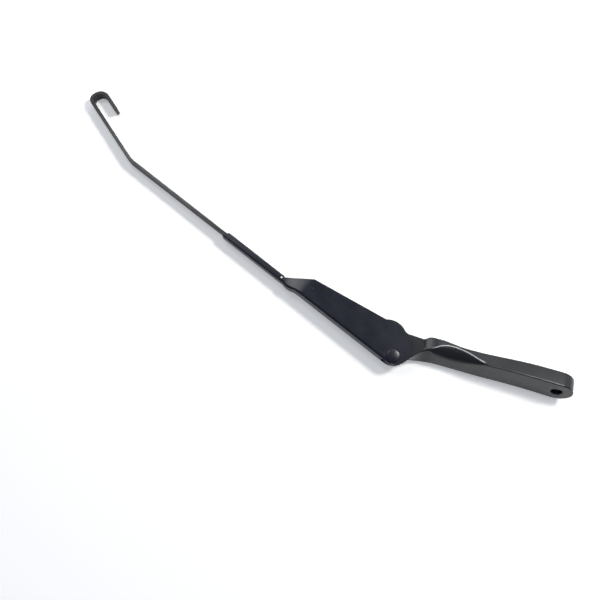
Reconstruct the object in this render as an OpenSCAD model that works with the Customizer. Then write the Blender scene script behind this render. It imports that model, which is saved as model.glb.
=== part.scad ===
// Wiper arm with a cast head, a sprung pressed channel and a flat bar that ends in a J hook.
// It lies on its side, as it comes to rest: the pivot axis is vertical.
// Row frame: the origin is the middle of the spindle bore, X runs along the head towards the
// pivot, Y points to the outer side of the arm, away from the windscreen, and Z is up.
// Arm frame: the origin is the pivot, X runs along the arm towards the hook, Y is the outer side.

/* [Head bar] */
// Distance from the spindle axis to the pivot axis, along the bar
pivot_along = 134.5; // [126:0.5:150]
// Distance of the pivot axis from the bore's middle, towards the outer side
pivot_out = 12; // [10:0.1:14]
// Height of the bore's middle above the arm's middle plane
head_rise = 4; // [3:0.1:6]
// Roll of the bar about its length, outer face turned up
head_roll = 19; // [14:0.5:24]
// Further roll of the bar between the boss and the neck
bar_twist = 4; // [0:0.5:6]
// Width of the bar at the spindle boss
boss_w = 25.2; // [23:0.1:30]
// Width of the bar where the neck starts
neck_w = 20.6; // [18:0.1:22]
// Thickness of the boss along the spindle axis
boss_t = 12.5; // [11.5:0.1:14]
// Draft of the boss's round end on the windscreen face
boss_draft = 1.8; // [0:0.1:2.4]
// Thickness of the bar beside the neck
bar_t = 10.4; // [9:0.1:11.5]
// Where the neck starts to turn into the lug, from the spindle axis
neck_start = 95; // [90:0.5:98]
// Bow of the bar between boss and neck, towards the windscreen
bar_bow = 0.6; // [0:0.1:1.5]
// Crown of the neck's inner side over the lug's
neck_crown = 3.7; // [0:0.1:4.5]
// Radius of the bar's long edges
edge_r = 1.1; // [0.6:0.1:1.6]

/* [Leaf facet] */
// Where the facet starts, from the spindle axis
leaf_start = 60; // [50:0.5:70]
// Where the facet is deepest
leaf_mid = 90; // [84:0.5:92]
// Where the facet ends in the neck
leaf_end = 108; // [104:0.5:112]
// Greatest depth of the facet along the top side
leaf_depth = 8.3; // [4:0.1:8.6]
// Slope of the facet below the top side, at its crest
leaf_tilt = 17; // [8:0.5:20]
// Height of the raised lip along the facet's crest
leaf_lip = 0.4; // [0:0.05:0.6]

/* [Spindle bore] */
// Radius of the straight bore for the threaded stud
bore_r = 4.3; // [3.5:0.05:5]
// Length of the straight bore
bore_len = 5.4; // [4.5:0.1:6]
// Depth of the chamfer on the outer face
bore_chamfer = 1; // [0.4:0.1:1.4]
// Mouth radius of the tapered socket on the windscreen face
socket_mouth_r = 6.4; // [5.6:0.1:8]
// Inner radius of the tapered socket
socket_inner_r = 5.2; // [5.1:0.1:5.5]

/* [Pockets] */
// Skin left between a pocket and the outer face
pocket_skin = 4.4; // [3.5:0.1:5.5]
// Length of one pocket
pocket_len = 31; // [24:0.5:32]
// Rib between the two pockets
pocket_rib = 5; // [3:0.5:7]
// Distance of the first pocket from the spindle axis
pocket_from = 20; // [18:0.5:21]
// Corner radius of a pocket
pocket_r = 3; // [1.5:0.5:4]

/* [Pivot] */
// Thickness of the head's lug between the channel's walls
lug_t = 13; // [12:0.1:13.2]
// Radius of the lug around the pivot
lug_r = 6.8; // [6.4:0.1:7.2]
// Half of the slot in the lug
slot_half = 2.1; // [1.9:0.1:2.6]
// Distance of the slot's floor behind the pivot
slot_back = 7; // [6.5:0.1:7.5]
// Radius of the pivot rivet
rivet_r = 4; // [3:0.1:4.2]
// Radius of the rivet's domed heads
rivet_head_r = 5.6; // [5:0.1:6]
// Height of the rivet's domed heads
rivet_head_h = 1.1; // [0.9:0.1:2.4]
// Height of the straight rim below the dome
rivet_rim_h = 0.5; // [0.3:0.1:0.8]
// Wall of the bushes in the lug
bush_wall = 0.95; // [0.7:0.05:1.2]
// Thickness of the bush flanges
flange_t = 0.5; // [0.3:0.05:0.6]
// Radius of the bush flanges
flange_r = 6.6; // [6:0.1:7]

/* [Channel] */
// Turn of the arm from the head bar's line, towards the windscreen
arm_turn = 22.5; // [18:0.5:26]
// Width of the channel over its walls
channel_w = 17; // [17:0.1:19]
// Thickness of the sheet
sheet = 1.4; // [1.1:0.05:1.45]
// Outer radius of the folds between web and walls
fold_r = 2.2; // [1.8:0.1:2.6]
// Distance of the web's outer face from the pivot axis
web_out = 7.05; // [6.9:0.05:7.6]
// Depth of the walls from the web's outer face to the rear free edge
wall_depth = 29.2; // [26:0.1:30]
// Distance of the walls' rear round from the pivot axis
wall_back = 11.5; // [11:0.1:13]
// Where the deep wall ends and the ramp starts
ramp_foot = 88.8; // [86:0.2:90]
// Depth of the wall at the ramp's foot
ramp_depth = 17.3; // [14:0.1:18]
// Where the ramp meets the crimp
ramp_top = 110.3; // [108:0.1:112]
// Swell of the web beside the crimp
web_swell = 1.1; // [0:0.1:1.5]
// Distance of the web's rear end from the pivot axis
web_back = 5.5; // [5.3:0.1:12]

/* [Crimp] */
// Where the crimp ends on the bar
crimp_end = 170; // [160:0.5:185]
// Slant of the crimp's front end
crimp_slant = 3; // [0:0.5:5]
// Gap between the two folded lips
lip_gap = 3.4; // [2:0.1:5]
// Length of the relief slots behind the folded lips
relief_len = 4.2; // [3:0.1:6]

/* [Bar and hook] */
// Height of the flat bar
bar_h = 9; // [8:0.1:9.5]
// Thickness of the flat bar
bar_thick = 3; // [2.5:0.1:3.2]
// Distance of the bar's middle from the pivot axis
bar_out = 5.35; // [5.2:0.05:5.5]
// Where the bar starts inside the crimp
bar_start = 117; // [116:0.5:125]
// Where the bar bends, from the pivot
bend_at = 278; // [250:1:320]
// Turn of the hook's leg towards the windscreen
hook_turn = 18; // [10:0.5:25]
// Radius of the bend
bend_r = 25; // [15:1:40]
// Length of the leg from the bend to the outside of the loop
leg_len = 69.5; // [60:0.5:90]
// Distance between the middles of the hook's two legs
hook_pitch = 13.6; // [13:0.1:16]
// Radius of the loop beside the long leg
loop_r_leg = 4.6; // [4:0.1:5.5]
// Radius of the loop beside the short leg
loop_r_tip = 7; // [5:0.1:7.4]
// Length of the hook from the outside of the loop to the tip
tip_len = 24.4; // [20:0.1:28]

/* [Spring and link] */
// Spring anchor along the arm from the pivot
anchor_x = 86; // [84:0.1:86.5]
// Spring anchor across the arm from the pivot, towards the windscreen
anchor_y = 2.5; // [2.2:0.1:3]
// Radius of the anchor pin
anchor_r = 1.75; // [1.25:0.05:2]
// Heel pin behind the pivot
heel_x = 2; // [1.6:0.1:2.4]
// Heel pin across the arm from the pivot, towards the windscreen
heel_y = 12; // [11.6:0.1:12.4]
// Radius of the heel pin
heel_r = 2; // [1.5:0.05:2.2]
// Outer radius of the coils
coil_r = 5.2; // [4.6:0.1:5.3]
// Wire of the spring
wire_d = 1.8; // [1.5:0.1:1.8]
// Turns of the spring
coil_turns = 23; // [15:1:25]
// Distance between turns
coil_pitch = 2.05; // [1.9:0.01:2.15]
// Thickness of the link
link_t = 3; // [2:0.1:3.2]
// Width of the link's band
link_band = 3.4; // [2.6:0.1:3.6]
// Radius of the link's bow, at the middle of the band
link_bow_r = 14.6; // [13:0.1:15]
// Radius of the link's shank
shank_r = 1.3; // [1:0.05:1.4]

/* [Fits] */
// Running clearance of the pivot and of the link on its pin
running_gap = 0.05; // [0.02:0.01:0.09]
// Clearance between pieces that are held together
seat_gap = 0.02; // [0.01:0.01:0.05]

/* [Hidden] */
$fn = 48;
black = "#26272a";
casting = "#3a3a3b";
steel = "#6d6f72";
nylon = "#d8d4c8";
far = 60;

// Bar of the head
outer_n = bore_len / 2 + bore_chamfer;
seat_n = outer_n - boss_t;
bar_foot = -(boss_w / 2 - 0.3);
twist_from = 12;
slim_to = 75;
lip_w = 0.9;
socket_run = 3;
bow_end = 60;
crown_from = neck_start - 17;
end_steps = 8;
lug_top = lug_t / 2 - 0.3 - head_rise;
lug_low = -lug_t / 2 + 0.3 - head_rise;
neck_outer = pivot_out;
neck_inner = pivot_out - 20.5;
neck_len = pivot_along - neck_start;
stations = concat(
    [for (i = [0:end_steps]) -boss_w / 2 * cos(90 * i / end_steps)],
    [for (x = [10:10:50]) x],
    [for (x = [56:3:neck_start]) x],
    [for (f = [0.06:0.06:0.78]) neck_start + neck_len * f]);

// Pivot and channel
wall_in = channel_w / 2 - sheet;
bush_r = rivet_r + running_gap + bush_wall;
rear_r = wall_depth / 2;
rear_x = rear_r - wall_back;
rear_y = web_out - rear_r;
bar_in = bar_out - bar_thick / 2;
crimp_half = bar_h / 2 + seat_gap + sheet;
crimp_out = bar_out + bar_thick / 2 + seat_gap + sheet;
crimp_in = bar_in - seat_gap - sheet;
relief_top = bar_out + 0.3;
ramp_low = web_out - ramp_depth;
edge_run = 16;
edge_rise = 1.1;
flare_start = ramp_foot;
flare_steps = 12;
swell_len = 15;
lap = 0.06;

// Spring and link, laid out between the heel pin and the anchor pin
heel = [-heel_x, -heel_y];
anchor = [anchor_x, -anchor_y];
reach = norm(anchor - heel);
line_turn = atan2(anchor[1] - heel[1], anchor[0] - heel[0]);
coil_mid_r = coil_r - wire_d / 2;
hook_mid_r = anchor_r + wire_d / 2 + 0.2;
lead = 7;
coil_len = coil_turns * coil_pitch;
neck_mid_r = shank_r + wire_d / 2 + 0.5;
slide_len = 10.5;
shank_end = reach - lead - coil_len + slide_len;
bow_x = 13.9;
bow_y = 1;
shoulder = 1.2;
eye_r = heel_r + 2;

// Smooth step from 0 to 1
function ease(t) = let (c = min(1, max(0, t))) c * c * (3 - 2 * c);
// Share of the way from one place to another, eased
function along(x, from, to) = ease((x - from) / (to - from));
function mix(a, b, t) = a + (b - a) * t;

// Skin over a list of closed sections that all have the same number of points. A sheet's section
// runs along its outer side and back along its inner side.
module loft(sections, sheet = false) {
    n = len(sections[0]);
    last = len(sections) - 1;
    cap = sheet
        ? [for (j = [0:n / 2 - 2]) [j, j + 1, n - 2 - j, n - 1 - j]]
        : [[for (j = [0:n - 1]) j]];
    faces = concat(
        cap,
        [for (i = [0:last - 1], j = [0:n - 1])
            [i * n + j, (i + 1) * n + j, (i + 1) * n + (j + 1) % n, i * n + (j + 1) % n]],
        [for (f = cap) [for (k = [len(f) - 1:-1:0]) last * n + f[k]]]);
    polyhedron(points = [for (s = sections, p = s) p], faces = faces, convexity = 10);
}

// Places the arm's own frame in the row frame
module on_arm() {
    translate([pivot_along, pivot_out, -head_rise])
        rotate([0, 0, -arm_turn])
            children();
}

// Points of a small round on corner c between its neighbours a and b
function round_corner(a, c, b, r, steps) =
    let (u = (a - c) / norm(a - c), v = (b - c) / norm(b - c))
    [for (i = [0:steps]) let (t = i / steps)
        c + u * r * (1 - t) * (1 - t) + v * r * t * t];

// Bezier arc from a to b with control point c
function bow(a, c, b, steps) =
    [for (i = [1:steps]) let (t = i / steps)
        a * (1 - t) * (1 - t) + c * 2 * t * (1 - t) + b * t * t];

// Roll, thickness, width and leaf depth of the head bar at distance x from the spindle
function roll_at(x) = head_roll + bar_twist * along(x, twist_from, neck_start);
function thick_at(x) = mix(boss_t, bar_t, along(x, twist_from, slim_to));
function width_at(x) = mix(boss_w, neck_w, min(1, max(0, x / neck_start)));
function end_share(x) = x < 0 ? sqrt(max(0.0004, 1 - pow(2 * x / boss_w, 2))) : 1;
function leaf_at(x) =
    x <= leaf_start || x >= leaf_end ? 0
    : x < leaf_mid ? leaf_depth * sin(90 * (x - leaf_start) / (leaf_mid - leaf_start))
    : leaf_depth * cos(90 * (x - leaf_mid) / (leaf_end - leaf_mid));

// Foot of the outer face, in the section plane [y, z]
foot_point = [outer_n * cos(head_roll) - bar_foot * sin(head_roll),
              outer_n * sin(head_roll) + bar_foot * cos(head_roll)];

// The four corners of the bar's box at x: outer foot, outer top, inner top and inner foot
function box_corners(x) =
    let (q = min(x, neck_start), a = roll_at(q), up = [-sin(a), cos(a)], in = [-cos(a), -sin(a)],
         bow = x > 0 && x < bow_end ? bar_bow * sin(180 * x / bow_end) : 0,
         mid = foot_point + up * width_at(q) / 2 - [bow, 0],
         half = up * width_at(q) / 2 * end_share(x),
         t = thick_at(q) - boss_draft * (1 - end_share(x)))
    [mid - half, mid + half, mid + half + in * t, mid - half + in * t];

// The same corners after the neck has turned them into the lug's section
function neck_corners(x) =
    let (b = box_corners(x))
    [[mix(b[0][0], neck_outer - 1, along(x, neck_start + 2, pivot_along - 5)),
      mix(b[0][1], lug_low, along(x, neck_start + 2, pivot_along - 14))],
     [mix(b[1][0], neck_outer, along(x, neck_start + 12, pivot_along - 9)),
      mix(b[1][1], lug_top, along(x, neck_start + 1, pivot_along - 20))],
     [mix(mix(b[2][0], neck_inner - neck_crown, along(x, crown_from, neck_start + 5)),
          neck_inner, along(x, neck_start + 12.5, pivot_along - 20.5)),
      mix(b[2][1], lug_top, along(x, neck_start + 1, pivot_along - 20))],
     [mix(b[3][0], neck_inner, along(x, neck_start + 2, pivot_along - 14)),
      mix(b[3][1], lug_low, along(x, neck_start + 2, pivot_along - 14))]];

// One section of the head bar, with the leaf facet cut from its outer top corner
function bar_section(x) =
    let (c = neck_corners(x), d = leaf_at(x), side = (c[2] - c[1]) / norm(c[2] - c[1]),
         down = (c[0] - c[1]) / norm(c[0] - c[1]), r = edge_r * end_share(x),
         lip = leaf_lip * min(1, d / leaf_depth * 2.5), crest = c[1] + side * max(d, r) - down * lip,
         fade = c[1] + down * max(r, min(norm(c[0] - c[1]) * 0.45, 1.3 * d)),
         knee = c[1] + down * d * tan(leaf_tilt),
         pts = concat(
             round_corner(c[3], c[0], fade, r, 3),
             [fade],
             bow(fade, knee, crest, 7),
             [crest + side * lip_w / 2 + down * lip / 3, crest + side * lip_w + down * lip],
             round_corner(crest, c[2], c[3], min(r, 0.8), 2),
             round_corner(c[2], c[3], c[0], r, 2)))
    [for (p = pts) [x, p[0], p[1]]];

// Rounded plate outline
module round_plate(size, r) {
    translate([r, 0]) square([size[0] - 2 * r, size[1]]);
    translate([0, r]) square([size[0], size[1] - 2 * r]);
    for (x = [r, size[0] - r], y = [r, size[1] - r])
        translate([x, y]) circle(r = r);
}

// Outline of the lug, in the row's plan, seen from the pivot
module lug_outline() {
    circle(r = lug_r);
    rotate(-arm_turn)
        translate(heel)
            circle(r = heel_r + 3.6);
    polygon([[-4.6, 5], [-13.3, -1.4], [-18.5, -7], [-22.1, -10], [-26, -12.4], [-30, -13.5],
             [-30, -18], [-20, -20.6], [-8.8, -21.2], [-5.4, -20.6], [-1.6, -15.6], [3.6, -5.8]]);
}

// Cuts for the spindle: straight bore, chamfer and tapered socket
module spindle_cuts() {
    rotate([head_roll, 0, 0])
        rotate([-90, 0, 0]) {
            cylinder(r = bore_r, h = bore_len + 2, center = true);
            translate([0, 0, bore_len / 2])
                cylinder(r1 = bore_r, r2 = bore_r + bore_chamfer + 0.2, h = bore_chamfer + 0.2);
            translate([0, 0, seat_n])
                cylinder(r1 = socket_mouth_r, r2 = socket_inner_r, h = -bore_len / 2 - seat_n);
            translate([0, 0, seat_n - socket_run])
                cylinder(r = socket_mouth_r, h = socket_run + 0.02);
        }
}

// Lightening pockets on the windscreen face
module pocket_cuts() {
    widths = [boss_w - 10.5, neck_w - 10.5];
    rotate([head_roll, 0, 0])
        for (i = [0, 1])
            translate([pocket_from + i * (pocket_len + pocket_rib), outer_n - pocket_skin, bar_foot + 4.2])
                rotate([90, 0, 0])
                    linear_extrude(far)
                        round_plate([pocket_len, widths[i]], pocket_r);
}

// Slot in the lug for the link, and the bores that cross the lug
module lug_cuts() {
    on_arm() {
        translate([-slot_back, -far / 2, -slot_half])
            cube([far, far, 2 * slot_half]);
        cylinder(r = bush_r + seat_gap, h = far, center = true);
        translate(heel)
            cylinder(r = heel_r + seat_gap, h = far, center = true);
    }
}

module arm_head() {
    color(casting)
        difference() {
            union() {
                loft([for (x = stations) bar_section(x)]);
                translate([pivot_along, pivot_out, -head_rise - lug_t / 2])
                    linear_extrude(lug_t)
                        lug_outline();
            }
            spindle_cuts();
            pocket_cuts();
            lug_cuts();
        }
}

// Flanged bush in one cheek of the lug: 1 is the upper one and -1 the lower one
module bush(side) {
    color(nylon)
        on_arm()
            mirror([0, 0, side < 0 ? 1 : 0])
                difference() {
                    union() {
                        translate([0, 0, slot_half + 0.1])
                            cylinder(r = bush_r, h = lug_t / 2 - slot_half - 0.1);
                        translate([0, 0, lug_t / 2])
                            cylinder(r = flange_r, h = flange_t);
                    }
                    cylinder(r = rivet_r + running_gap, h = far);
                }
}

module bush_upper() {
    bush(1);
}

module bush_lower() {
    bush(-1);
}

module heel_pin() {
    color(steel)
        on_arm()
            translate(heel)
                cylinder(r = heel_r, h = lug_t, center = true);
}

// Side outline of the channel's walls, with the round rear end and the ramp
module wall_outline() {
    translate([rear_x, rear_y]) circle(r = rear_r + 0.05, $fn = 72);
    polygon([[rear_x, rear_y], [rear_x, web_out + 1], [ramp_top, web_out + 1],
             [ramp_top, crimp_in + sheet], [ramp_foot, ramp_low],
             [rear_x + edge_run, web_out - wall_depth + edge_rise],
             [rear_x + 1, web_out - wall_depth + edge_rise / 7]]);
}

// Folded outline across the arm: a flat top and two sides that run down past the walls' edges
module folded_outline(half, top, r) {
    translate([-half, top - far]) square([2 * half, far - r]);
    translate([-half + r, top - r - 1]) square([2 * (half - r), r + 1]);
    for (s = [-1, 1])
        translate([s * (half - r), top - r]) circle(r = r);
}

// Section of the channel across the arm: a web with a folded wall on each side
module channel_profile() {
    difference() {
        folded_outline(channel_w / 2, web_out, fold_r);
        folded_outline(wall_in, web_out - sheet, fold_r - sheet);
    }
}

// Straight part of the channel
module channel_body() {
    intersection() {
        translate([-far / 2, 0, 0])
            rotate([0, 90, 0])
                linear_extrude(far / 2 + flare_start + 1)
                    channel_profile();
        linear_extrude(channel_w + 2, center = true)
            wall_outline();
    }
}

// One section of the flare between the channel and the crimp: half width, web, free edge
function flare_half(x) = mix(channel_w / 2, crimp_half, along(x, flare_start, ramp_top));
function flare_web(x) =
    let (s = (x - ramp_top + swell_len) / swell_len)
    mix(web_out, crimp_out, along(x, flare_start, ramp_top))
    + (s > 0 && s < 1 ? web_swell * pow(sin(180 * s), 2) : 0);
function flare_edge(x) = mix(ramp_low, crimp_in + sheet, (x - ramp_foot) / (ramp_top - ramp_foot));
function fold_arc(half, top, r) =
    [for (a = [0:22.5:90]) [top - r + r * sin(a), half - r + r * cos(a)]];
function flare_side(x, inset, r) =
    concat([[flare_edge(x) + lap, flare_half(x) - inset]],
           fold_arc(flare_half(x) - inset, flare_web(x) - inset, r));
function flare_section(x) =
    let (a = flare_side(x, lap, fold_r), b = flare_side(x, sheet - lap, fold_r - sheet),
         n = len(a) - 1)
    [for (p = concat(a, [for (i = [n:-1:0]) [a[i][0], -a[i][1]]],
                     [for (q = b) [q[0], -q[1]]], [for (i = [n:-1:0]) b[i]]))
        [x, p[0], -p[1]]];

// Crimp that wraps the flat bar
module crimp_profile() {
    difference() {
        translate([-crimp_half, crimp_in])
            round_plate([2 * crimp_half, crimp_out - crimp_in], 1.7);
        translate([-bar_h / 2 - seat_gap, bar_in - seat_gap])
            square([bar_h + 2 * seat_gap, bar_thick + 2 * seat_gap]);
        translate([-lip_gap / 2, crimp_in - 1])
            square([lip_gap, sheet + 2]);
    }
}

module crimp_body() {
    difference() {
        translate([ramp_top, 0, 0])
            rotate([0, 90, 0])
                linear_extrude(crimp_end - ramp_top + crimp_slant)
                    crimp_profile();
        // slanted front end
        translate([crimp_end, crimp_in, -far / 2])
            rotate([0, 0, -atan2(crimp_slant, crimp_out - crimp_in)])
                translate([0, -far / 2, 0])
                    cube([far, far, far]);
        // relief slots that part the folded lips from the walls; the lower one is open
        translate([ramp_top - 1, bar_in - seat_gap, -far / 2])
            cube([relief_len + 1 - 0.8, relief_top - bar_in, far]);
        translate([ramp_top + relief_len - 0.9, (bar_in + relief_top) / 2, 0])
            cylinder(r = (relief_top - bar_in) / 2, h = far, center = true);
        translate([ramp_top - 1, crimp_in - 1, -far])
            cube([relief_len + 0.6, relief_top - crimp_in, far]);
    }
}

module channel() {
    color(black)
        on_arm()
            difference() {
                union() {
                    channel_body();
                    loft([for (i = [0:flare_steps])
                        flare_section(mix(flare_start, ramp_top + 0.6, i / flare_steps))], true);
                    crimp_body();
                }
                // rear end of the web is cut back so that the arm can fold out
                translate([-far / 2, rear_y, -wall_in])
                    cube([far / 2 + web_back, far, 2 * wall_in]);
                cylinder(r = rivet_r + seat_gap, h = far, center = true);
                translate(anchor)
                    cylinder(r = anchor_r + seat_gap, h = far, center = true);
            }
}

// Domed head of the rivet, standing on the wall
module rivet_head() {
    crown_h = rivet_head_h - rivet_rim_h;
    dome_r = (rivet_head_r * rivet_head_r + crown_h * crown_h) / (2 * crown_h);
    rotate_extrude()
        intersection() {
            square([rivet_head_r, rivet_head_h]);
            translate([0, rivet_head_h - dome_r]) circle(r = dome_r, $fn = 192);
        }
}

module pivot_rivet() {
    color(black)
        on_arm() {
            cylinder(r = rivet_r, h = channel_w, center = true);
            for (s = [0, 1])
                mirror([0, 0, s])
                    translate([0, 0, channel_w / 2])
                        rivet_head();
        }
}

module anchor_pin() {
    color(black)
        on_arm()
            translate(anchor)
                cylinder(r = anchor_r, h = channel_w, center = true);
}

// Path of the flat bar: each step is a straight [length] or an arc [radius, turn to the right]
bend_tangent = bend_r * tan(hook_turn / 2);
tip_straight = tip_len - bar_thick - loop_r_tip;
bar_path = [[bend_at - bend_tangent - bar_start],
            [bend_r, hook_turn],
            [leg_len - bar_thick / 2 - loop_r_leg - bend_tangent],
            [loop_r_leg, 90],
            [hook_pitch - loop_r_leg - loop_r_tip],
            [loop_r_tip, 90],
            [tip_straight]];
function step_end(pose, s) =
    let (a = pose[2])
    len(s) == 1
    ? [pose[0] + s[0] * cos(a), pose[1] + s[0] * sin(a), a]
    : [pose[0] + s[0] * (sin(a) - sin(a - s[1])), pose[1] - s[0] * (cos(a) - cos(a - s[1])), a - s[1]];
function pose_at(i) = i == 0 ? [bar_start, bar_out, 0] : step_end(pose_at(i - 1), bar_path[i - 1]);

module path_step(s) {
    if (len(s) == 1)
        translate([-lap, -bar_thick / 2]) square([s[0] + 2 * lap, bar_thick]);
    else
        translate([0, -s[0]])
            intersection() {
                difference() {
                    circle(r = s[0] + bar_thick / 2, $fn = 96);
                    circle(r = s[0] - bar_thick / 2, $fn = 96);
                }
                polygon([[0, 0], [0, far], [far * sin(s[1] / 2), far * cos(s[1] / 2)],
                         [far * sin(s[1]), far * cos(s[1])]]);
            }
}

module hook_bar() {
    tip = pose_at(len(bar_path));
    color(black)
        on_arm()
            linear_extrude(bar_h, center = true) {
                for (i = [0:len(bar_path) - 1])
                    translate([pose_at(i)[0], pose_at(i)[1]])
                        rotate(pose_at(i)[2])
                            path_step(bar_path[i]);
                translate([tip[0], tip[1]]) circle(r = bar_thick / 2);
            }
}

// Middle line of the spring's wire, from the free end of its hook to its last turn.
// It is laid out from the anchor along +X.
function coil_point(turn) =
    let (a = 360 * turn - 90, s = min(1, max(0, (turn - coil_turns) / 1.5)),
         r = mix(coil_mid_r, neck_mid_r, ease(s)))
    [lead + min(turn, coil_turns) * coil_pitch + max(0, turn - coil_turns) * wire_d * 1.02,
     r * sin(a), r * cos(a)];
wire_path = concat(
    [for (a = [70:25:270]) [hook_mid_r * cos(a), hook_mid_r * sin(a), 0]],
    [[lead * 0.45, -mix(hook_mid_r, coil_mid_r, 0.35), 0], [lead * 0.8, -mix(hook_mid_r, coil_mid_r, 0.85), 0]],
    [for (i = [0:14 * (coil_turns + 1.5)]) coil_point(i / 14)]);

// Ring of points square to the path at point i
function wire_ring(path, i, r, sides) =
    let (n = len(path) - 1, t = path[min(n, i + 1)] - path[max(0, i - 1)], d = t / norm(t),
         k = abs(d[0]) < 0.8 ? [1, 0, 0] : [0, 0, 1], u0 = cross(d, k), u = u0 / norm(u0),
         v = cross(d, u))
    [for (j = [0:sides - 1]) let (a = -360 * j / sides)
        path[i] + u * r * cos(a) + v * r * sin(a)];

module spring() {
    color(steel)
        on_arm()
            translate(anchor)
                rotate(180 + line_turn)
                    loft([for (i = [0:len(wire_path) - 1]) wire_ring(wire_path, i, wire_d / 2, 6)]);
}

// Flat bow of the link, open towards the pivot so that it clears the rivet when the arm folds out
module link_outline() {
    half = link_band / 2;
    left = bow_x - sqrt(link_bow_r * link_bow_r - bow_y * bow_y);
    right = 2 * bow_x - left;
    circle(r = eye_r);
    translate([0, -half]) square([left + half * 0.6, link_band]);
    translate([bow_x, bow_y])
        intersection() {
            difference() {
                circle(r = link_bow_r + half, $fn = 96);
                circle(r = link_bow_r - half, $fn = 96);
            }
            translate([-far / 2, -far]) square([far, far - bow_y + half]);
        }
    translate([right - half * 0.6, -half]) square([shoulder + half * 0.6, link_band]);
}

module spring_link() {
    right = bow_x + sqrt(link_bow_r * link_bow_r - bow_y * bow_y);
    color(steel)
        on_arm()
            translate(heel)
                rotate(line_turn)
                    difference() {
                        union() {
                            linear_extrude(link_t, center = true)
                                link_outline();
                            translate([right, 0, 0])
                                rotate([0, 90, 0])
                                    cylinder(r = shank_r, h = shank_end - right);
                            translate([shank_end, 0, 0])
                                rotate([0, 90, 0])
                                    cylinder(r = coil_r - wire_d - 0.5, h = 2);
                        }
                        cylinder(r = heel_r + running_gap, h = far, center = true);
                    }
}

arm_head();
bush_upper();
bush_lower();
heel_pin();
channel();
pivot_rivet();
anchor_pin();
hook_bar();
spring();
spring_link();
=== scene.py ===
"""Looks of the wiper arm: materials, soft edges, floor, studio light and camera."""

import math

import bpy
from mathutils import Matrix, Vector


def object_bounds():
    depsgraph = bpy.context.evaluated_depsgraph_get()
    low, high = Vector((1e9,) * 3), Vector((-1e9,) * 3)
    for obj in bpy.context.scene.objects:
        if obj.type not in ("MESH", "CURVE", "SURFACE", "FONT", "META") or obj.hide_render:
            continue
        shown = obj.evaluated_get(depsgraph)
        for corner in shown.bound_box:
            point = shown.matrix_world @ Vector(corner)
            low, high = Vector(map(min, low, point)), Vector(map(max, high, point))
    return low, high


# The photograph's view: where the camera looks, from where, and how long its lens is
VIEW_AZIMUTH = 196.0
VIEW_ELEVATION = 80.0
VIEW_DISTANCE = 0.5833
VIEW_TARGET = (0.2199, -0.0129, -0.0040)
FOCAL_PX = 700.0
PHOTO_PX = 600.0
SENSOR_MM = 36.0

# The part rests on its boss, its rivet and its hook, so the floor under it leans a little
FLOOR_SLOPE = (0.0087, -0.0166)
FLOOR_HALF = 3.0

# The floor's own white to the camera, near the part, where its shadow lies. It rises to a full
# white between two distances from the row's origin, in metres. Gloss sees a share of it
FLOOR_GLOW = 0.36
FLOOR_NEAR = 0.55
FLOOR_FAR = 1.5
FLOOR_MIRRORED = 0.5

# Softened edges on the CAD nodes: width in metres. The channel's cut edges stay sharp
EDGE_WIDTH = {
    "arm_head": 0.00030,
    "hook_bar": 0.00035,
    "pivot_rivet": 0.00025,
    "anchor_pin": 0.00020,
    "heel_pin": 0.00020,
    "bush_upper": 0.00012,
    "bush_lower": 0.00012,
    "spring_link": 0.00025,
}
EDGE_SEGMENTS = {"hook_bar": 3}
EDGE_SEGMENTS_ELSE = 2

# Nodes on which short edges don't hold the width back
FREE_EDGES = ("arm_head", "hook_bar")

# Edges that turn more than this are rounded, and shaded as edges. The neck's facets turn more
SHARP_ANGLE = math.radians(32)
HEAD_SHARP_ANGLE = math.radians(48)

# Split corners are joined before the edges are rounded, and slivers closed after it, in metres
JOIN_DISTANCE = 0.00002
SLIVER = 0.000001
NORMAL_WEIGHT = 70

# The leaf facet's crest on the head, where a bright metal line is a painted highlight: places in
# plan, in metres
CREST = ((0.061, -0.0024), (0.066, -0.0034), (0.074, -0.0061), (0.082, -0.0080),
         (0.090, -0.0087), (0.096, -0.0076), (0.102, -0.0048), (0.107, -0.0019))
CREST_HALF = 0.00075
CREST_CORE = 0.35
CREST_FADE_IN = 0.004
CREST_FADE_OUT = 0.006
CREST_UPWARD = (0.3, 0.5)
CREST_PATCHES = (0.35, 0.6)
CREST_LEAST = 0.55
# The crest's painted highlight: its bright colour and its metal share
CREST_HIGHLIGHT_COLOUR = (0.66, 0.66, 0.66)
CREST_HIGHLIGHT_METALLIC = 0.85

# Most of a noise texture's values lie in this range
NOISE_RANGE = (0.3, 0.7)

# Softboxes: direction from the part's middle, size in metres, power in watts, colour
LAMP_DISTANCE = 1.3
LAMPS = {
    "key": ((-0.46, -0.38, 0.80), (0.22, 0.22), 11.0, (1.0, 0.99, 0.97)),
    "window": ((0.05, -0.80, 0.60), (0.8, 0.45), 3.0, (0.97, 0.98, 1.0)),
    "low": ((-0.75, -0.60, 0.30), (0.9, 0.4), 1.3, (0.98, 0.99, 1.0)),
    "side": ((0.37, -0.30, 0.88), (0.3, 0.3), 2.4, (0.98, 0.99, 1.0)),
}
ROOM_COLOUR = (0.66, 0.78, 1.0, 1.0)
ROOM_STRENGTH = 0.22


def new_material(name):
    """A node material with one Principled shader, its tree and its shader."""
    material = bpy.data.materials.new(name)
    material.use_nodes = True
    tree = material.node_tree
    return material, tree, tree.nodes["Principled BSDF"]


def noise(tree, scale, detail=3.0, roughness=0.55):
    """A noise texture in the row's metres, as its value."""
    place = tree.nodes.new("ShaderNodeTexCoord")
    texture = tree.nodes.new("ShaderNodeTexNoise")
    texture.inputs["Scale"].default_value = scale
    texture.inputs["Detail"].default_value = detail
    texture.inputs["Roughness"].default_value = roughness
    tree.links.new(place.outputs["Object"], texture.inputs["Vector"])
    return texture.outputs["Fac"]


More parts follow.
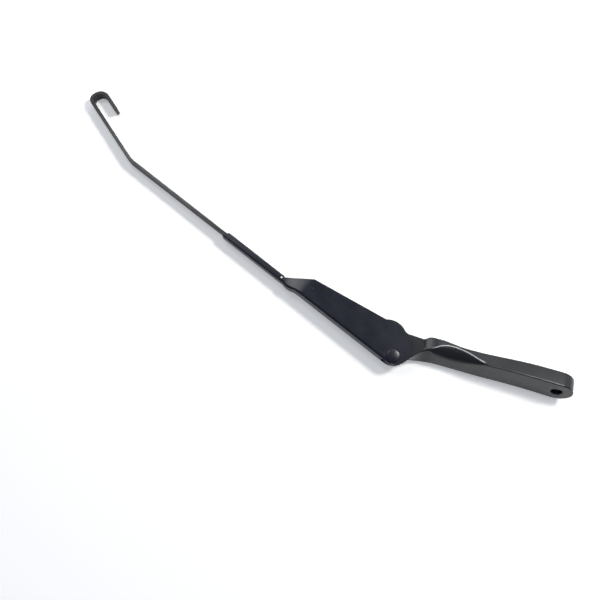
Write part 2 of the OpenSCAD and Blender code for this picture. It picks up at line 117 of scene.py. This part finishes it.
def ramp(tree, value, dark, light):
    """A colour between dark and light, driven by a noise value."""
    node = tree.nodes.new("ShaderNodeValToRGB")
    for element, place, colour in zip(node.color_ramp.elements, NOISE_RANGE, (dark, light)):
        element.position = place
        element.color = (*colour, 1.0)
    tree.links.new(value, node.inputs["Fac"])
    return node.outputs["Color"]


def rescale(tree, value, from_low, from_high, to_low, to_high, smooth=False):
    """A value moved from one range to another and kept inside it."""
    node = tree.nodes.new("ShaderNodeMapRange")
    node.interpolation_type = "SMOOTHSTEP" if smooth else "LINEAR"
    for name, number in (("From Min", from_low), ("From Max", from_high),
                         ("To Min", to_low), ("To Max", to_high)):
        node.inputs[name].default_value = number
    tree.links.new(value, node.inputs["Value"])
    return node.outputs["Result"]


def spread(tree, value, low, high):
    """A number between low and high, driven by a noise value."""
    return rescale(tree, value, *NOISE_RANGE, low, high)


def bump(tree, shader, height, strength, distance):
    """Raises the shader's surface by a noise value."""
    node = tree.nodes.new("ShaderNodeBump")
    node.inputs["Strength"].default_value = strength
    node.inputs["Distance"].default_value = distance
    tree.links.new(height, node.inputs["Height"])
    tree.links.new(node.outputs["Normal"], shader.inputs["Normal"])


def calculate(tree, operation, *values):
    """A math node on one or two values, each a socket or a plain number."""
    node = tree.nodes.new("ShaderNodeMath")
    node.operation = operation
    for socket, value in zip(node.inputs, values):
        if isinstance(value, (int, float)):
            socket.default_value = value
        else:
            tree.links.new(value, socket)
    return node.outputs[0]


def crest_line(tree, along):
    """The crest's y at each x, as a curve through its places."""
    start, end = CREST[0][0], CREST[-1][0]
    lowest, highest = min(y for _, y in CREST), max(y for _, y in CREST)
    places = [((x - start) / (end - start), (y - lowest) / (highest - lowest)) for x, y in CREST]
    line = tree.nodes.new("ShaderNodeFloatCurve")
    curve = line.mapping.curves[0]
    curve.points[0].location = places[0]
    curve.points[1].location = places[-1]
    for place in places[1:-1]:
        curve.points.new(*place)
    line.mapping.update()
    tree.links.new(rescale(tree, along, start, end, 0.0, 1.0), line.inputs["Value"])
    return rescale(tree, line.outputs[0], 0.0, 1.0, lowest, highest)


def painted_crest_highlight(tree, patchy):
    """1 on the leaf facet's crest, where a bright line is a painted highlight, and 0 elsewhere,
    broken up by a noise value.
    """
    place = tree.nodes.new("ShaderNodeTexCoord")
    split = tree.nodes.new("ShaderNodeSeparateXYZ")
    tree.links.new(place.outputs["Object"], split.inputs[0])
    facing = tree.nodes.new("ShaderNodeSeparateXYZ")
    tree.links.new(place.outputs["Normal"], facing.inputs[0])
    along, across = split.outputs["X"], split.outputs["Y"]
    start, end = CREST[0][0], CREST[-1][0]
    away = calculate(tree, "ABSOLUTE",
                     calculate(tree, "SUBTRACT", across, crest_line(tree, along)))
    near = rescale(tree, away, CREST_HALF * CREST_CORE, CREST_HALF, 1.0, 0.0, True)
    inside = calculate(tree, "MULTIPLY",
                       rescale(tree, along, start, start + CREST_FADE_IN, 0.0, 1.0, True),
                       rescale(tree, along, end - CREST_FADE_OUT, end, 1.0, 0.0, True))
    top = rescale(tree, facing.outputs["Z"], *CREST_UPWARD, 0.0, 1.0)
    # How strong the painted highlight is along the crest, broken up by noise
    broken_up = rescale(tree, patchy, *CREST_PATCHES, CREST_LEAST, 1.0)
    return calculate(tree, "MULTIPLY", calculate(tree, "MULTIPLY", near, inside),
                     calculate(tree, "MULTIPLY", top, broken_up))


def blend_colour(tree, share, base, painted_highlight):
    """A colour socket that goes from a base to a plain colour, here the crest's painted
    highlight.
    """
    node = tree.nodes.new("ShaderNodeMix")
    node.data_type = "RGBA"
    # The node's colour sockets have the same names as its number sockets, so they go by index
    factor, first, second = node.inputs[0], node.inputs[6], node.inputs[7]
    tree.links.new(share, factor)
    tree.links.new(base, first)
    second.default_value = (*painted_highlight, 1.0)
    return node.outputs[2]


def paint_material(name, dark, light):
    """Satin black paint on steel, with a slight orange peel."""
    material, tree, shader = new_material(name)
    tone = noise(tree, 90.0, 4.0)
    peel = noise(tree, 1400.0, 2.0)
    tree.links.new(ramp(tree, tone, dark, light), shader.inputs["Base Color"])
    tree.links.new(spread(tree, tone, 0.28, 0.34), shader.inputs["Roughness"])
    bump(tree, shader, peel, 0.12, 0.00004)
    return material


def casting_material():
    """Matte black coat over the grain of a die casting, with a painted highlight on the leaf
    facet's crest: a bright metal line.
    """
    material, tree, shader = new_material("coated_casting")
    tone = noise(tree, 55.0, 5.0)
    grain = noise(tree, 2600.0, 4.0, 0.65)
    # A painted highlight: a bright metal line along the leaf facet's crest
    painted_highlight = painted_crest_highlight(tree, tone)
    coat = ramp(tree, tone, (0.0085, 0.0088, 0.0105), (0.0125, 0.0128, 0.0145))
    tree.links.new(blend_colour(tree, painted_highlight, coat, CREST_HIGHLIGHT_COLOUR), shader.inputs["Base Color"])
    tree.links.new(spread(tree, grain, 0.27, 0.34), shader.inputs["Roughness"])
    tree.links.new(calculate(tree, "MULTIPLY", painted_highlight, CREST_HIGHLIGHT_METALLIC), shader.inputs["Metallic"])
    bump(tree, shader, grain, 0.25, 0.00005)
    return material


def steel_material(name, dark, light, roughness):
    """Drawn or rolled steel with faint blotches."""
    material, tree, shader = new_material(name)
    blotch = noise(tree, 420.0)
    tree.links.new(ramp(tree, blotch, dark, light), shader.inputs["Base Color"])
    tree.links.new(spread(tree, blotch, roughness, roughness + 0.12), shader.inputs["Roughness"])
    shader.inputs["Metallic"].default_value = 0.85
    bump(tree, shader, blotch, 0.15, 0.00003)
    return material


def bush_material():
    """Pale moulded plastic."""
    material, tree, shader = new_material("moulded_bush")
    tone = noise(tree, 300.0)
    tree.links.new(ramp(tree, tone, (0.50, 0.48, 0.42), (0.58, 0.56, 0.50)),
                   shader.inputs["Base Color"])
    shader.inputs["Roughness"].default_value = 0.45
    bump(tree, shader, tone, 0.1, 0.00003)
    return material


def smooth_by_angle(limit):
    """A modifier tree that shades smooth over all edges flatter than a limit."""
    tree = bpy.data.node_groups.new("smooth_by_angle", "GeometryNodeTree")
    for way in ("INPUT", "OUTPUT"):
        tree.interface.new_socket("Geometry", in_out=way, socket_type="NodeSocketGeometry")
    start = tree.nodes.new("NodeGroupInput")
    end = tree.nodes.new("NodeGroupOutput")
    angle = tree.nodes.new("GeometryNodeInputMeshEdgeAngle")
    sharp = tree.nodes.new("FunctionNodeCompare")
    sharp.operation = "GREATER_THAN"
    sharp.inputs[1].default_value = limit
    faces = tree.nodes.new("GeometryNodeSetShadeSmooth")
    faces.domain = "FACE"
    normals = tree.nodes.new("GeometryNodeSetMeshNormal")
    normals.mode = "SHARPNESS"
    normals.inputs["Remove Custom"].default_value = True
    tree.links.new(start.outputs[0], faces.inputs["Geometry"])
    tree.links.new(faces.outputs[0], normals.inputs["Mesh"])
    tree.links.new(angle.outputs["Unsigned Angle"], sharp.inputs[0])
    tree.links.new(sharp.outputs[0], normals.inputs["Edge Sharpness"])
    tree.links.new(normals.outputs[0], end.inputs[0])
    return tree


def soften(node, tree, limit):
    """Gives a CAD node rounded edges and smooth shading, without touching its mesh."""
    joined = node.modifiers.new("joined", "WELD")
    joined.merge_threshold = JOIN_DISTANCE
    if node.name in EDGE_WIDTH:
        edge = node.modifiers.new("edge", "BEVEL")
        edge.width = EDGE_WIDTH[node.name]
        edge.segments = EDGE_SEGMENTS.get(node.name, EDGE_SEGMENTS_ELSE)
        edge.limit_method = "ANGLE"
        edge.angle_limit = limit
        edge.use_clamp_overlap = node.name not in FREE_EDGES
        clean = node.modifiers.new("clean", "WELD")
        clean.merge_threshold = SLIVER
    shade = node.modifiers.new("shade", "NODES")
    shade.node_group = tree
    even = node.modifiers.new("even", "WEIGHTED_NORMAL")
    even.mode = "FACE_AREA"
    even.weight = NORMAL_WEIGHT
    even.keep_sharp = True


def dress(nodes):
    """Puts the finish and the soft edges on every CAD node."""
    # Blue-black: the black is the paint's own, and the blue in it is a painted reflection of a
    # bluish room
    paint = paint_material("satin_black_paint",
                           (0.0042, 0.0050, 0.0125), (0.0062, 0.0072, 0.0175))
    bar_paint = paint_material("bar_black_paint",
                               (0.0055, 0.0055, 0.0058), (0.0080, 0.0080, 0.0084))
    casting = casting_material()
    bush = bush_material()
    pin = steel_material("ground_steel", (0.26, 0.26, 0.27), (0.34, 0.34, 0.35), 0.28)
    spring = steel_material("spring_steel", (0.07, 0.07, 0.075), (0.12, 0.12, 0.125), 0.34)
    finish = {
        "arm_head": casting,
        "bush_upper": bush,
        "bush_lower": bush,
        "heel_pin": pin,
        "channel": paint,
        "pivot_rivet": paint,
        "anchor_pin": paint,
        "hook_bar": bar_paint,
        "spring": spring,
        "spring_link": paint,
    }
    shading = {limit: smooth_by_angle(limit) for limit in (SHARP_ANGLE, HEAD_SHARP_ANGLE)}
    for name, node in nodes.items():
        node.data.materials.clear()
        node.data.materials.append(finish[name])
        limit = HEAD_SHARP_ANGLE if name == "arm_head" else SHARP_ANGLE
        soften(node, shading[limit], limit)


def floor_rise(x, y):
    """How much higher the leaning floor is at a place than at the row's origin."""
    return FLOOR_SLOPE[0] * x + FLOOR_SLOPE[1] * y


def floor_material():
    """A pale floor that shows white to the camera and keeps the part's shadow."""
    material, tree, shader = new_material("pale_floor")
    shader.inputs["Base Color"].default_value = (0.93, 0.92, 0.90, 1.0)
    shader.inputs["Roughness"].default_value = 0.9
    shader.inputs["Specular IOR Level"].default_value = 0.1
    place = tree.nodes.new("ShaderNodeTexCoord")
    away = tree.nodes.new("ShaderNodeVectorMath")
    away.operation = "LENGTH"
    tree.links.new(place.outputs["Object"], away.inputs[0])
    glow = tree.nodes.new("ShaderNodeEmission")
    tree.links.new(rescale(tree, away.outputs["Value"], FLOOR_NEAR, FLOOR_FAR,
                           FLOOR_GLOW, 1.0, True), glow.inputs["Strength"])
    none = tree.nodes.new("ShaderNodeEmission")
    none.inputs["Strength"].default_value = 0.0
    path = tree.nodes.new("ShaderNodeLightPath")
    mirrored = calculate(tree, "MULTIPLY", path.outputs["Is Glossy Ray"], FLOOR_MIRRORED)
    shown = calculate(tree, "MAXIMUM", path.outputs["Is Camera Ray"], mirrored)
    pick = tree.nodes.new("ShaderNodeMixShader")
    tree.links.new(shown, pick.inputs["Fac"])
    tree.links.new(none.outputs[0], pick.inputs[1])
    tree.links.new(glow.outputs[0], pick.inputs[2])
    total = tree.nodes.new("ShaderNodeAddShader")
    tree.links.new(shader.outputs[0], total.inputs[0])
    tree.links.new(pick.outputs[0], total.inputs[1])
    tree.links.new(total.outputs[0], tree.nodes["Material Output"].inputs["Surface"])
    return material


def make_floor(nodes):
    """A leaning floor that the part's lowest points touch."""
    height = min(v.co.z - floor_rise(v.co.x, v.co.y)
                 for node in nodes.values() for v in node.data.vertices)
    corners = [(x, y, height + floor_rise(x, y))
               for x, y in ((-FLOOR_HALF, -FLOOR_HALF), (FLOOR_HALF, -FLOOR_HALF),
                            (FLOOR_HALF, FLOOR_HALF), (-FLOOR_HALF, FLOOR_HALF))]
    mesh = bpy.data.meshes.new("floor")
    mesh.from_pydata(corners, [], [(0, 1, 2, 3)])
    mesh.materials.append(floor_material())
    floor = bpy.data.objects.new("floor", mesh)
    bpy.context.scene.collection.objects.link(floor)


def area_light(name, centre, toward, size, power, colour):
    """A rectangular softbox on the side that toward names, aimed at the part's middle."""
    lamp = bpy.data.lights.new(name, "AREA")
    lamp.shape = "RECTANGLE"
    lamp.size, lamp.size_y = size
    lamp.energy = power
    lamp.color = colour
    light = bpy.data.objects.new(name, lamp)
    direction = Vector(toward).normalized()
    light.location = centre + direction * LAMP_DISTANCE
    light.rotation_euler = direction.to_track_quat("Z", "Y").to_euler()
    bpy.context.scene.collection.objects.link(light)


def make_world():
    """White to the camera, and a dim, slightly blue room to everything else."""
    world = bpy.data.worlds.new("studio")
    bpy.context.scene.world = world
    world.use_nodes = True
    tree = world.node_tree
    room = tree.nodes["Background"]
    room.inputs["Color"].default_value = ROOM_COLOUR
    room.inputs["Strength"].default_value = ROOM_STRENGTH
    white = tree.nodes.new("ShaderNodeBackground")
    white.inputs["Color"].default_value = (1.0, 1.0, 1.0, 1.0)
    path = tree.nodes.new("ShaderNodeLightPath")
    pick = tree.nodes.new("ShaderNodeMixShader")
    tree.links.new(path.outputs["Is Camera Ray"], pick.inputs["Fac"])
    tree.links.new(room.outputs[0], pick.inputs[1])
    tree.links.new(white.outputs[0], pick.inputs[2])
    tree.links.new(pick.outputs[0], tree.nodes["World Output"].inputs["Surface"])


def make_camera():
    """The photograph's camera, from its azimuth, elevation, distance and focal length."""
    azimuth = math.radians(VIEW_AZIMUTH)
    elevation = math.radians(VIEW_ELEVATION)
    right = Vector((math.cos(azimuth), math.sin(azimuth), 0.0))
    ahead = Vector((-math.sin(azimuth), math.cos(azimuth), 0.0)) * math.cos(elevation)
    ahead.z = -math.sin(elevation)
    up = right.cross(ahead)
    data = bpy.data.cameras.new("camera")
    data.sensor_width = SENSOR_MM
    data.lens = FOCAL_PX * SENSOR_MM / PHOTO_PX
    camera = bpy.data.objects.new("camera", data)
    place = Matrix((right, up, -ahead)).transposed().to_4x4()
    place.translation = Vector(VIEW_TARGET) - ahead * VIEW_DISTANCE
    camera.matrix_world = place
    bpy.context.scene.collection.objects.link(camera)
    bpy.context.scene.camera = camera


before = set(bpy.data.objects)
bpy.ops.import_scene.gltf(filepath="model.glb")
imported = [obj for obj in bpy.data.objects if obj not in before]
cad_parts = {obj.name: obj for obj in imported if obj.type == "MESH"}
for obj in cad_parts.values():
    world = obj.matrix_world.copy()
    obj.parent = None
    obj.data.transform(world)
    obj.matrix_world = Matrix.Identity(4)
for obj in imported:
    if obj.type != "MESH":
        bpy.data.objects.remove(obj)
cad_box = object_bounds()
middle = Vector([(low + high) / 2 for low, high in zip(*cad_box)])

dress(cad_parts)
make_floor(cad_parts)
make_world()
for lamp_name, lamp_facts in LAMPS.items():
    area_light(lamp_name, middle, *lamp_facts)
make_camera()
bpy.context.scene.view_settings.view_transform = "Standard"
